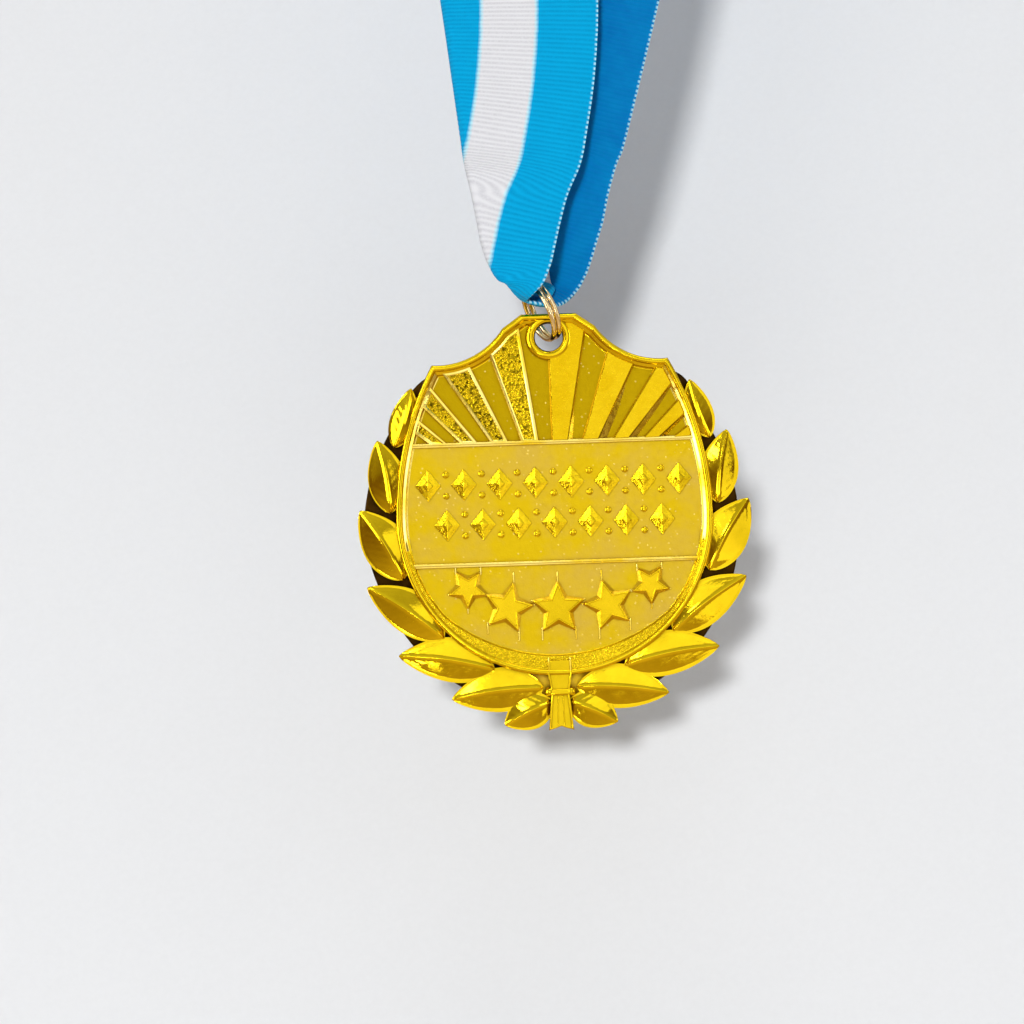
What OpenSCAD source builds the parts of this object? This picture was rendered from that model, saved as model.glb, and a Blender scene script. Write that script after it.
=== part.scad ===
// Academic medallion on a neck ribbon, hanging as it is worn.
// The origin is the middle of the ribbon at the nape of the neck. The medal faces -Y.

/* [Medal] */
// Radius of the round back plate
disc_r = 24.7; // [23.5:0.1:26]
// Thickness of the back plate
plate_t = 1.5; // [1.2:0.1:2]
// Height of the shield's floor above the back face
floor_h = 1.8; // [1.7:0.1:2]
// Height of the stippled band round the field
band_h = 2.45; // [2.2:0.05:2.8]
// Height of the shield's raised rim
rim_h = 2.9; // [2.7:0.1:3.4]
// Width of the raised rim
rim_w = 0.8; // [0.6:0.1:1.2]
// Width of the band inside the rim, at the sides
band_w = 0.4; // [0.3:0.1:0.8]

/* [Shield] */
// Half width of the shield at its widest
shield_half_w = 20.3; // [19.5:0.1:21]
// Height of the widest place above the middle of the plate
shield_z = 1.4; // [0:0.1:3]
// Radius of the long side arcs
side_r = 41; // [38:1:46]
// Top of the hanging tab above the middle of the plate
tab_top = 27.45; // [27.2:0.05:28.5]
// Half width of the flat top of the tab
tab_half_w = 3.5; // [3:0.1:4]
// Radius of the hollow shoulders
shoulder_r = 10.1; // [9.5:0.1:10.5]
// Radius of the field's lower arc
field_r = 22.3; // [21.5:0.1:23]
// Lowest point of the field below the middle of the plate
field_drop = 16.4; // [15.8:0.1:17]

/* [Eyelet] */
// Bore of the eyelet
hole_d = 3.8; // [3.6:0.1:4.4]
// Height of the eyelet above the middle of the plate
hole_up = 24.5; // [24:0.1:24.8]
// Outer diameter of the raised collar round the bore
collar_d = 5.9; // [5.4:0.1:6.2]
// Height of the collar above the back face
collar_h = 2.4; // [2.3:0.1:2.6]

/* [Rays and panel] */
// Distance between rays, measured along the panel's top bar
ray_pitch = 3.85; // [3.6:0.05:4.2]
// Width of a ray where it leaves the panel's top bar
ray_w = 1.8; // [1.4:0.1:2.2]
// Height of the rays above the floor
ray_h = 0.45; // [0.3:0.05:0.6]
// Height of the panel's top bar above the middle of the plate
panel_top = 11.05; // [10.5:0.1:11.5]
// Height of the panel's lower bar below the middle of the plate
panel_low = 4.4; // [4:0.1:5]
// Width of the two bars
bar_w = 0.6; // [0.4:0.1:0.8]
// Height of the bars above the floor
bar_h = 0.35; // [0.2:0.05:0.5]
// Distance between the ornament's lozenges
lozenge_pitch = 4.6; // [4.4:0.1:5]
// Width of a lozenge
lozenge_w = 3.3; // [2.8:0.1:3.6]
// Length of a lozenge
lozenge_l = 4.1; // [3.6:0.1:4.4]
// Height of the lozenges above the floor
lozenge_h = 0.5; // [0.3:0.05:0.6]
// Diameter of the pellets between the lozenges
pellet_d = 0.9; // [0.7:0.1:1.1]

/* [Stars] */
// Radius of the arc on which the stars stand
star_arc_r = 25.9; // [24:0.1:28]
// Lowest point of that arc below the middle of the plate
star_drop = 10.3; // [10:0.1:11]
// Angle between stars along the arc
star_pitch = 14; // [13:0.5:15]
// Tip radius of the middle star
star_r = 3.1; // [2.8:0.1:3.4]
// Height of a star above the floor
star_h = 0.65; // [0.4:0.05:0.8]

/* [Laurel] */
// Height of a leaf's edge above the back plate
leaf_edge_h = 0.3; // [0.2:0.05:0.5]
// Height of a leaf's midrib above the back plate
leaf_rib_h = 1.25; // [0.9:0.05:1.5]
// Height of the bow above the back face
bow_h = 2.75; // [2.5:0.05:3]
// Width of the bow's straps
bow_w = 3.2; // [2.8:0.1:3.6]

/* [Split ring] */
// Outer diameter of the ring
ring_d = 8.4; // [8.2:0.1:9]
// Diameter of its wire
wire_d = 0.8; // [0.7:0.05:0.9]
// Gap between the two turns
turn_gap = 0.1; // [0.05:0.05:0.15]
// Turn of the ring away from edge-on, front to the right
ring_turn = 20; // [15:1:25]
// Lean of the ring's top to the left
ring_lean = 22; // [15:1:25]
// Where the wire crosses the bore, to the right of its middle
ring_side = 0.5; // [0.3:0.05:0.6]
// Where the wire crosses the bore, below its middle
ring_drop = 0.1; // [0:0.05:0.2]
// Distance of the hanging plane in front of the medal's back face
hang_depth = 0.9; // [0.8:0.05:1.1]

/* [Ribbon] */
// Length of the ribbon round the whole loop
ribbon_len = 760; // [700:10:860]
// Width of the ribbon
ribbon_w = 23; // [20:0.5:25]
// Thickness of the cloth
ribbon_t = 1; // [1:0.1:1.4]
// Radius of the loop where it goes round the neck
neck_r = 62; // [55:1:70]
// Lean of the loop from upright, as it lies on the chest
loop_lean = 22; // [15:1:30]
// Radius of the gathered ribbon inside the split ring
gather_r = 1.3; // [1.2:0.05:1.35]

/* [Hidden] */
$fn = 96;
gold = "#D9A90F";
steel = "#C9B27A";
cloth_blue = "#0AA5D7";
// Clearance between the gathered ribbon and the inside of the ring's top
gather_gap = 0.25;
// Gap between the two layers of the folded ribbon
layer_gap = 0.1;
// Depth by which one part of the casting is sunk into the next
sink = 0.3;
// Larger than the medal, for cutting away
margin = 60;
// Angle at which the tab's upper corners are cut
tab_cut = 35;
// Middle of a hollow shoulder beyond the circle's own radius, and above the top of the tab
shoulder_out = 4.2;
shoulder_up = 3.95;
// Height of the flat cut across the plate behind the tab, below its full radius
plate_cut = 3.5;
// Share of the ribbon's width in front of its fold line
front_share = 0.65;

// Length of one straight strand when the loop's circle is d away
function strand_len(d) = sqrt(d * d - neck_r * neck_r);
function spread(d) = asin(neck_r / d);
function loop_len(d) = 2 * strand_len(d) + neck_r * PI / 180 * (180 + 2 * spread(d));
function find_d(low, high, n) =
    n == 0 ? (low + high) / 2
    : loop_len((low + high) / 2) > ribbon_len ? find_d(low, (low + high) / 2, n - 1)
    : find_d((low + high) / 2, high, n - 1);

// Distance from the split ring to the middle of the neck circle, along the loop's plane
neck_d = find_d(neck_r * 1.2, ribbon_len / 2, 24);
loop_spread = spread(neck_d);

// The split ring's own axes: across it, to its back and to its top
ring_r = (ring_d - wire_d) / 2;
ring_n = [cos(ring_lean) * cos(ring_turn), cos(ring_lean) * sin(ring_turn), sin(ring_lean)];
ring_m = [-sin(ring_turn), cos(ring_turn), 0];
ring_v = [-sin(ring_lean) * cos(ring_turn), -sin(ring_lean) * sin(ring_turn), cos(ring_lean)];

// The gathered ribbon passes through the ring at the knot, about which ring and medal swing
loop_drop = neck_d + neck_r;
gather_up = ring_r - wire_d / 2 - gather_gap - gather_r;
knot = [ring_side + (ring_r + gather_up) * ring_v[0], -loop_drop * sin(loop_lean),
        -loop_drop * cos(loop_lean)];
ring_c = knot - gather_up * ring_v;
wire_low = ring_c - ring_r * ring_v;
hole_c = [wire_low[0] - ring_side, wire_low[1], wire_low[2] + ring_drop];
medal_z = hole_c[2] - hole_up;

// Outline of the shield, drawn in by the given amount
module shield_2d(in) {
    difference() {
        union() {
            intersection() {
                translate([-(side_r - shield_half_w), shield_z]) circle(side_r - in);
                translate([side_r - shield_half_w, shield_z]) circle(side_r - in);
                translate([-margin, shield_z]) square([2 * margin, tab_top - shield_z - in]);
            }
            translate([0, shield_z]) circle(shield_half_w - in);
        }
        shoulders_2d(in);
        for (side = [-1, 1])
            translate([side * (tab_half_w - in / 2), tab_top - in]) rotate(side * -tab_cut)
                translate([side < 0 ? -margin : 0, 0]) square(margin);
    }
}

// The two hollow shoulders beside the hanging tab
module shoulders_2d(in) {
    for (side = [-1, 1])
        translate([side * (shoulder_r + shoulder_out), tab_top + shoulder_up]) circle(shoulder_r + in);
}

// The sunk field inside rim and band
module field_2d() {
    intersection() {
        shield_2d(rim_w + band_w);
        translate([0, field_r - field_drop]) circle(field_r);
    }
}

module plate() {
    shoulder_gap = 0.2;
    linear_extrude(plate_t) difference() {
        circle(disc_r);
        shoulders_2d(shoulder_gap);
        translate([-margin, disc_r - plate_cut]) square([2 * margin, margin]);
    }
}

module shield() {
    linear_extrude(floor_h) shield_2d(0);
    translate([0, 0, plate_t - sink]) linear_extrude(band_h - plate_t + sink) difference() {
        shield_2d(rim_w / 3);
        field_2d();
    }
    translate([0, 0, plate_t - sink]) linear_extrude(rim_h - plate_t + sink) difference() {
        shield_2d(0);
        shield_2d(rim_w);
    }
}

// Rays spread from one point and stand on the panel's top bar
RAYS = [-4, -3, -2, -1, 0, 1, 2, 3, 4];
ray_shift = 0.27;
ray_focus = -0.8;
ray_reach = 3;
module rays() {
    translate([0, 0, floor_h - sink]) linear_extrude(ray_h + sink) intersection() {
        shield_2d(rim_w + band_w / 2);
        translate([-margin, panel_top]) square([2 * margin, margin]);
        union() for (k = RAYS) {
            mid = (k + ray_shift) * ray_pitch;
            rise = panel_top - ray_focus;
            near = [[mid - ray_w / 2, rise], [mid + ray_w / 2, rise]];
            polygon([near[0] + [0, ray_focus], near[1] + [0, ray_focus],
                     near[1] * ray_reach + [0, ray_focus], near[0] * ray_reach + [0, ray_focus]]);
        }
    }
}

module panel_bars() {
    for (z = [panel_top, -panel_low])
        translate([0, 0, floor_h - sink]) linear_extrude(bar_h + sink) intersection() {
            shield_2d(rim_w + band_w / 2);
            translate([-margin, z - bar_w / 2]) square([2 * margin, bar_w]);
        }
}

// A pointed relief on a closed outline, with a short upright edge
module faceted(outline, edge, peak) {
    n = len(outline);
    points = concat([for (p = outline) [p[0], p[1], -sink]],
                    [for (p = outline) [p[0], p[1], edge]], [[0, 0, -sink], [0, 0, peak]]);
    faces = [for (i = [0:n - 1]) let (j = (i + 1) % n)
        each [[j, n + j, i], [n + j, n + i, i], [j, i, 2 * n], [n + j, 2 * n + 1, n + i]]];
    polyhedron(points, faces);
}

// Two staggered rows of lozenges with pellets between them
module ornament() {
    row_gap = (panel_top + panel_low) / 3;
    rows = [[panel_top - row_gap, 8], [-panel_low + row_gap, 7]];
    half = [lozenge_w / 2, lozenge_l / 2];
    outline = [[-half[0], 0], [0, half[1]], [half[0], 0], [0, -half[1]]];
    for (row = rows, k = [0:row[1] - 1])
        translate([(k - (row[1] - 1) / 2) * lozenge_pitch, row[0], floor_h])
            faceted(outline, lozenge_h / 4, lozenge_h);
    for (row = rows, k = [0:row[1] - 2], side = [-1, 1])
        translate([(k - (row[1] - 2) / 2) * lozenge_pitch, row[0] + side * lozenge_l / 3, floor_h - sink])
            cylinder(d = pellet_d, h = sink + lozenge_h / 2, $fn = 24);
}

// Five stars: [place along the arc, size as a share of the middle star, turn]
STARS = [[-2, 0.74, 180], [-1, 0.9, 8], [0, 1, 0], [1, 0.9, -8], [2, 0.74, 180]];
module stars() {
    notch = 0.42;
    for (s = STARS) {
        tip = star_r * s[1];
        outline = [for (i = [0:9]) let (a = 90 - 36 * i, r = i % 2 == 0 ? tip : tip * notch)
            [r * cos(a), r * sin(a)]];
        a = s[0] * star_pitch;
        translate([star_arc_r * sin(a), star_arc_r - star_drop - star_arc_r * cos(a), floor_h])
            rotate(s[2] + a / 2) faceted(outline, star_h / 5, star_h);
    }
}

// Laurel leaves of one side, as shares of the plate's radius:
// [angle of tip, tip radius, angle of base, base radius, width]
LEAVES = [
    [47.5, 1.035, 28.5, 0.93, 0.135],
    [28.0, 1.027, 7.0, 0.855, 0.185],
    [6.9, 1.015, -17.0, 0.83, 0.225],
    [-15.8, 1.022, -43.0, 0.81, 0.210],
    [-37.5, 1.048, -65.0, 0.795, 0.215],
    [-57.1, 1.037, -84.0, 0.83, 0.215],
    [-73.8, 1.055, -87.5, 0.90, 0.185]];

// One ridged leaf along +X, from its base at the origin to its tip
module leaf(length, width) {
    n = 8;
    blunt = 0.04;
    low = plate_t - sink;
    edge = plate_t + leaf_edge_h;
    swell = function (t) blunt + (1 - blunt) * pow(sin(180 * pow(t, 0.85)), 0.8);
    points = [for (i = [0:n]) let (t = i / n, half = width / 2 * swell(t), x = length * t)
        each [[x, half, low], [x, half, edge], [x, 0, edge + (leaf_rib_h - leaf_edge_h) * swell(t)],
              [x, -half, edge], [x, -half, low]]];
    sides = [for (i = [0:n - 1], k = [0:4]) let (a = i * 5 + k, b = i * 5 + (k + 1) % 5)
        each [[b + 5, b, a], [a + 5, b + 5, a]]];
    ends = [for (k = [1:3]) each [[k, k + 1, 0], [n * 5 + k + 1, n * 5 + k, n * 5]]];
    polyhedron(points, concat(sides, ends));
}

module laurel() {
    for (side = [-1, 1], row = LEAVES) {
        tip = disc_r * row[1] * [side * cos(row[0]), sin(row[0])];
        base = disc_r * row[3] * [side * cos(row[2]), sin(row[2])];
        along = tip - base;
        translate(base) rotate(atan2(along[1], along[0])) leaf(norm(along), disc_r * row[4]);
    }
}

// The bow that ties the laurel: two straps that cross at a narrow waist
module bow() {
    half = bow_w / 2;
    waist = half * 0.7;
    overlap = 0.9;
    notch = 0.35;
    band = 0.9;
    proud = 0.25;
    top = shield_half_w - shield_z - overlap;
    pinch = disc_r * 0.85;
    foot = disc_r * 1.048;
    translate([0, 0, plate_t - sink]) linear_extrude(bow_h - plate_t + sink)
        polygon([[-half, -top], [half, -top], [waist, -pinch], [half, -foot],
                 [0, -foot + notch], [-half, -foot], [-waist, -pinch]]);
    translate([-half * 1.1, -pinch - band / 2, plate_t - sink])
        cube([half * 2.2, band, bow_h - plate_t + sink + proud]);
}

// The medal as it is cast, face up, with the middle of its plate at the origin
module casting() {
    difference() {
        union() {
            plate();
            shield();
            rays();
            panel_bars();
            ornament();
            stars();
            laurel();
            bow();
            translate([0, hole_up]) cylinder(d = collar_d, h = collar_h);
        }
        translate([0, hole_up, -sink]) cylinder(d = hole_d, h = rim_h + 2 * sink);
    }
}

// Everything on the medal is cast relief, raised from one solid
module medal() {
    color(gold) translate([hole_c[0], hole_c[1] + hang_depth, medal_z]) rotate([90, 0, 0]) casting();
}

// Centre of the wire at angle a of its two turns, which step across at the top of the ring
WIRE_START = 184;
WIRE_END = 896;
STEP_START = 510;
STEP_TURN = 60;
function smooth(s) = let (c = min(1, max(0, s))) c * c * (3 - 2 * c);
function wire_c(a) = ring_c - ring_r * cos(a) * ring_v - ring_r * sin(a) * ring_m
    + (smooth((a - STEP_START) / STEP_TURN) - 0.5) * (wire_d + turn_gap) * ring_n;
function wire_out(a) = -cos(a) * ring_v - sin(a) * ring_m;

// Skin between rings of points, each with the same number of sides
function skin(rings, sides) = [for (i = [0:rings - 2], k = [0:sides - 1])
    let (a = i * sides + k, b = i * sides + (k + 1) % sides)
    each [[b + sides, b, a], [a + sides, b + sides, a]]];

module split_ring() {
    sides = 6;
    step = 12;
    angles = [for (a = [WIRE_START:step:WIRE_END]) a];
    points = [for (a = angles, k = [0:sides - 1]) let (c = 360 * k / sides)
        wire_c(a) + wire_d / 2 * (cos(c) * wire_out(a) + sin(c) * ring_n)];
    last = (len(angles) - 1) * sides;
    caps = [for (k = [1:sides - 2]) each [[k, k + 1, 0], [last + k + 1, last + k, last]]];
    color(steel) polyhedron(points, concat(skin(len(angles), sides), caps));
}

// The two strands above the knot, from the knot and in shares of the split ring's radius:
// [free edge x, y, z, fold x, y, z, length of the folded layer as a share of the open layer]
FRONT_ROWS = [
    [-0.30, -0.50, 0.00, -0.62, -0.10, 0.12, 0.50],
    [-0.12, -1.10, 0.16, -0.80, -0.60, 0.24, 0.35],
    [0.30, -1.26, 0.42, -1.04, -0.82, 0.44, 0.35],
    [0.48, -1.21, 0.80, -1.32, -0.90, 0.55, 0.45],
    [0.60, -1.21, 1.14, -1.60, -0.90, 1.04, 0.60],
    [0.74, -1.03, 1.72, -1.83, -0.80, 1.74, 0.75],
    [0.93, -0.85, 2.48, -1.97, -0.71, 2.58, 0.75],
    [1.21, -0.70, 3.40, -2.12, -0.61, 3.50, 0.75],
    [1.66, -0.60, 4.40, -2.32, -0.55, 4.50, 0.75]];
BACK_ROWS = [
    [0.56, 0.02, -0.20, 0.18, 0.42, 0.08, 0.50],
    [1.05, 0.50, -0.06, 0.20, 0.84, 0.45, 0.35],
    [1.45, 0.82, 0.34, -0.16, 1.18, 0.63, 0.35],
    [1.74, 0.87, 0.79, -0.40, 1.21, 0.84, 0.45],
    [1.95, 0.87, 1.29, -0.58, 1.13, 1.21, 0.55],
    [2.13, 0.79, 1.82, -0.79, 1.05, 1.74, 0.60],
    [2.40, 0.74, 2.60, -1.00, 0.90, 2.53, 0.60],
    [2.61, 0.68, 3.50, -1.21, 0.79, 3.42, 0.60],
    [2.92, 0.66, 4.50, -1.47, 0.74, 4.42, 0.60]];

function unit(v) = v / norm(v);
function mix(a, b, s) = a + (b - a) * s;

// A section of the ribbon: [free edge, towards the fold, towards the folded layer, front, back, fold, r]
// front and back are the lengths of the open and the folded layer, fold the angle between them
// and r the radius of the fold
fold_r = (ribbon_t + layer_gap) / 2;
fold_len = PI * fold_r;
function visible(front, back, fold) = front + fold_r + ribbon_t / 2 + back * max(0, cos(fold));
function row_section(row, i, side) =
    let (free = knot + ring_r * [row[0], row[1], row[2]],
         edge = knot + ring_r * [row[3], row[4], row[5]],
         across = unit(edge - free), to_back = mix(ring_v, [0, -side, 0], smooth(i / 3)),
         back = unit(to_back - (to_back * across) * across),
         front = norm(edge - free) - fold_r - ribbon_t / 2)
    [free, across, back, front, min(row[6] * front, ribbon_w - front - fold_len), 180, fold_r];

// The straight strands turn from lying flat on the chest to standing round the neck:
// shares of their length where the fold is open, where the turn starts and how long it takes
open_by = 0.12;
turn_from = 0.25;
turn_over = 0.6;
up = [0, sin(loop_lean), cos(loop_lean)];
function strand_section(t, side) =
    let (rows = side < 0 ? FRONT_ROWS : BACK_ROWS,
         last = row_section(rows[len(rows) - 1], len(rows), side),
         start = last[0] + last[1] * visible(last[3], last[4], 180) / 2,
         out = [side, 0, 0], mid_neck = -neck_r * up,
         end = mid_neck + neck_r * (cos(loop_spread) * out - sin(loop_spread) * up),
         span = norm(end - start),
         d0 = unit([side * 0.1, 0.1, 1]) * span,
         d1 = (sin(loop_spread) * out + cos(loop_spread) * up) * span,
         h = t * t * (3 - 2 * t), point = mix(start, end, h)
            + (t * t * t - 2 * t * t + t) * d0 + (t * t * t - t * t) * d1,
         along = unit(6 * (t - t * t) * (end - start) + (3 * t * t - 4 * t + 1) * d0
            + (3 * t * t - 2 * t) * d1),
         left = [-1, 0, 0], flat = unit(left - (left * along) * along), behind = -cross(along, flat),
         turn = 90 * smooth((t - turn_from) / turn_over),
         across = cos(turn) * flat + sin(turn) * behind, back = side * cross(along, across),
         open = smooth(t / open_by), fold = 180 * (1 - open),
         front = mix(last[3], ribbon_w * front_share, open),
         rest = mix(last[4], ribbon_w - front - fold_len, open))
    [point - across * visible(front, rest, fold) / 2, across, back, front, rest, fold, fold_r];

function neck_section(a) =
    let (out = [sin(a), 0, 0] + cos(a) * up, across = [0, cos(loop_lean), -sin(loop_lean)],
         front = ribbon_w * front_share)
    [neck_r * (out - up) - across * ribbon_w / 2, across, -out, front,
     ribbon_w - front - fold_len, 0, fold_r];

// The bundle inside the split ring, as shares of its radius: half width, sink, fold and folded layer
knot_half = 1.1;
knot_sink = 0.2;
knot_fold = 0.55;
knot_back = 0.85;
knot_section = let (r = gather_r * knot_fold, front = 2 * gather_r * knot_half - r - ribbon_t / 2)
    [knot - gather_r * (knot_half * ring_m + knot_sink * ring_v), ring_m, ring_v, front,
     gather_r * knot_back, 180, r];

// The outline of a section: down its front face, round the fold and back along its inner face
FRONT_CUTS = 3;
FOLD_CUTS = 5;
BACK_CUTS = 2;
function section_points(s) =
    let (cuts = FRONT_CUTS + FOLD_CUTS + BACK_CUTS,
         lengths = [for (i = [0:cuts - 1]) i < FRONT_CUTS ? s[3] / FRONT_CUTS
            : i < FRONT_CUTS + FOLD_CUTS ? PI * s[6] / FOLD_CUTS : s[4] / BACK_CUTS],
         heading = [for (i = [0:cuts - 1]) i < FRONT_CUTS ? 0
            : i < FRONT_CUTS + FOLD_CUTS ? s[5] * (i - FRONT_CUTS + 0.5) / FOLD_CUTS : s[5]],
         line = [for (i = 0, p = [0, 0]; i <= cuts;
            p = i < cuts ? p + lengths[i] * [cos(heading[i]), sin(heading[i])] : p, i = i + 1) p],
         side = [for (i = [0:cuts]) let (h = i == 0 ? heading[0] : i == cuts ? heading[cuts - 1]
            : (heading[i - 1] + heading[i]) / 2, t = ribbon_t / 2 * (i == 0 || i == cuts ? 0.6 : 1))
            t * [-sin(h), cos(h)]],
         outline = concat([for (i = [0:cuts]) line[i] - side[i]],
                          [for (i = [cuts:-1:0]) line[i] + side[i]]))
    [for (p = outline) s[0] + p[0] * s[1] + (p[1] - s[6]) * s[2]];

module ribbon() {
    strand_cuts = 16;
    neck_cuts = 12;
    crowding = 1.5;
    reach = 90 + loop_spread;
    steps = [for (i = [1:strand_cuts - 1]) pow(i / strand_cuts, crowding)];
    tops = len(FRONT_ROWS) - 1;
    front = concat([for (i = [len(steps) - 1:-1:0]) strand_section(steps[i], -1)],
                   [for (i = [tops:-1:0]) row_section(FRONT_ROWS[i], i, -1)]);
    rear = concat([for (i = [0:tops]) row_section(BACK_ROWS[i], i, 1)],
                  [for (t = steps) strand_section(t, 1)]);
    neck = [for (k = [neck_cuts:-1:-neck_cuts]) neck_section(reach * k / neck_cuts)];
    sections = concat(front, [knot_section], rear, neck);
    points = [for (s = sections) each section_points(s)];
    sides = len(section_points(knot_section));
    closed = len(points);
    faces = [for (f = skin(len(sections) + 1, sides)) [for (v = f) v % closed]];
    color(cloth_blue) polyhedron(points, faces);
}

medal();
split_ring();
ribbon();
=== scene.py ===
"""Academic medallion on a blue, white and blue neck ribbon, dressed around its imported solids."""
import math

import bmesh
import bpy
from mathutils import Matrix, Vector, noise


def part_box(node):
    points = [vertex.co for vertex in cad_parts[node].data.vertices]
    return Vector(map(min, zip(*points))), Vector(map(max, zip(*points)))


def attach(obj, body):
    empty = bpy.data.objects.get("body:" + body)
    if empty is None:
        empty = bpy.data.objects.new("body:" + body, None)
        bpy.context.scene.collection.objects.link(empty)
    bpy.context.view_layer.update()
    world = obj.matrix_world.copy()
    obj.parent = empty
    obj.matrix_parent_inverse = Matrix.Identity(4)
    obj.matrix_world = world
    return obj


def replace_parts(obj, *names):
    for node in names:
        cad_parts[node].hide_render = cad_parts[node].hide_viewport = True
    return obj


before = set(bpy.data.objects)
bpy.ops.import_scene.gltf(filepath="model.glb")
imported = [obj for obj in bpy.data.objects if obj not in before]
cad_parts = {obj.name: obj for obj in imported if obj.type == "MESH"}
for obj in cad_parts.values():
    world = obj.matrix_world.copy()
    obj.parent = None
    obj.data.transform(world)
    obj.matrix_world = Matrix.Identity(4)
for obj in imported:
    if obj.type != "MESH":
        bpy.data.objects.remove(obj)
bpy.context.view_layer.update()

MM = 0.001

# Where the medal hangs: the casting is drawn flat, with the middle of its plate at the origin
TAB_TOP = 27.45
medal_high = Vector(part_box("medal")[1]) / MM
BACK_FACE = medal_high.y
PLATE_MIDDLE = medal_high.z - TAB_TOP

# Sizes of the casting in millimetres. Most are the ones in the part's source
PLATE_R = 24.7
PLATE_T = 1.5
PLATE_CUT = 21.2
FLOOR_H = 1.8
BAND_H = 2.4
RIM_H = 2.8
RIM_W = 0.8
BAND_W = 0.4
HALF_W = 20.3
HEART = Vector((0, 1.4))
SIDE_R = 41.0
TAB_HALF_W = 3.5
TAB_CUT = math.radians(35)
TAB_SHARE = 0.4
CORNER_BEARING, CORNER_SPAN = 46, 9
CORNER_OUT = 0.8
TRIM_LEAST, TRIM_MORE = 0.2, 0.8
SHOULDER = Vector((14.3, 31.4))
SHOULDER_R = 10.1
FIELD_R = 22.3
FIELD_DROP = 16.4
BORE_R = 1.9
BORE_UP = 24.5
COLLAR_R = 2.95
COLLAR_H = 2.4
RAY_PITCH = 3.85
RAY_W = 2.25
RAY_H = 0.45
RAY_SHIFT = 0.27
RAY_FOCUS = -0.8
RAY_STEP = 0.45
PANEL_TOP = 11.05
PANEL_LOW = -4.4
BAR_W = 0.6
BAR_H = 0.35
SUNK = 0.3
UNDER_BAND = RIM_W + BAND_W / 2
UPRIGHT = Vector((0, 1))


def at(x, y, h):
    """A point of the casting: x to the right, y up, h above its back face."""
    return Vector((x, BACK_FACE - h, PLATE_MIDDLE + y)) * MM


# Node helpers

def material(name):
    mat = bpy.data.materials.new(name)
    mat.use_nodes = True
    return mat, mat.node_tree, mat.node_tree.nodes["Principled BSDF"]


def fill(socket, value):
    """Feeds a socket from another one, or gives it a plain value."""
    if isinstance(value, bpy.types.NodeSocket):
        socket.id_data.links.new(value, socket)
    else:
        socket.default_value = value


def put(tree, kind, **values):
    """A node with its inputs set by name, or by place where the name is i0, i1..."""
    node = tree.nodes.new("ShaderNode" + kind)
    for key, value in values.items():
        if hasattr(node, key):
            setattr(node, key, value)
        else:
            by_place = key[0] == "i" and key[1:].isdigit()
            fill(node.inputs[int(key[1:]) if by_place else key], value)
    return node


def put_row(kind, row, **values):
    """The first output of a node in the same tree, whose first inputs are given as a row."""
    tree = next(v for v in row if isinstance(v, bpy.types.NodeSocket)).id_data
    return put(tree, kind, **values, **{"i%d" % k: value for k, value in enumerate(row)}).outputs[0]


def calc(operation, *row):
    return put_row("Math", row, operation=operation)


def times(*row):
    return calc("MULTIPLY", *row)


def ranged(*row):
    """A value brought from one range into another, which is 0 to 1 where it isn't given."""
    return put_row("MapRange", row)


def mixed(factor, first, second):
    """Two colours blended."""
    return put(factor.id_data, "Mix", data_type="RGBA", i0=factor, i6=first, i7=second).outputs[2]


def where(tree):
    """The place on the object."""
    return put(tree, "TexCoord").outputs["Object"]


def noise_at(tree, size_mm, detail=2.0, rough=0.5):
    """Noise over the object, with features of the given size."""
    return put(tree, "TexNoise", Vector=where(tree), Scale=1 / (size_mm * MM), Detail=detail,
               Roughness=rough).outputs["Fac"]


def finish(shader, colour, roughness, height, depth_mm, strength, plain):
    """Gives a shader its colour, roughness and skin, and the values that are the same all over."""
    fill(shader.inputs["Base Color"], colour)
    fill(shader.inputs["Roughness"], roughness)
    skin = put(shader.id_data, "Bump", Strength=strength, Distance=depth_mm * MM, Height=height)
    fill(shader.inputs["Normal"], skin.outputs[0])
    for label, value in plain.items():
        shader.inputs[label].default_value = value


def new_group(name, takes, gives):
    """A node group with named inputs, each with its usual value, and named outputs."""
    tree = bpy.data.node_groups.new(name, "ShaderNodeTree")
    for label, value in takes.items():
        tree.interface.new_socket(label, in_out="INPUT", socket_type="NodeSocketFloat").default_value = value
    for label in gives:
        tree.interface.new_socket(label, in_out="OUTPUT", socket_type="NodeSocketFloat")
    return tree, tree.nodes.new("NodeGroupInput").outputs, tree.nodes.new("NodeGroupOutput").inputs


def placed(tree, group, **values):
    node = put(tree, "Group", node_tree=group)
    for key, value in values.items():
        fill(node.inputs[key.replace("_", " ")], value)
    return node.outputs


# Effects that several finishes use

def cast_skin_group():
    """The orange peel and pits of a plated casting: a height, and a mask of its high places."""
    tree, takes, gives = new_group("cast_skin", {"Peel": 900.0, "Pits": 4200.0, "Pit depth": 0.3},
                                   ("Height", "High"))
    place = where(tree)
    peel = put(tree, "TexNoise", Vector=place, Scale=takes["Peel"], Detail=3.0, Roughness=0.55).outputs["Fac"]
    pits = put(tree, "TexNoise", Vector=place, Scale=takes["Pits"], Detail=2.0, Roughness=0.6).outputs["Fac"]
    fill(gives["Height"], calc("ADD", peel, times(pits, takes["Pit depth"])))
    fill(gives["High"], ranged(peel, 0.42, 0.62))
    return tree


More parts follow.
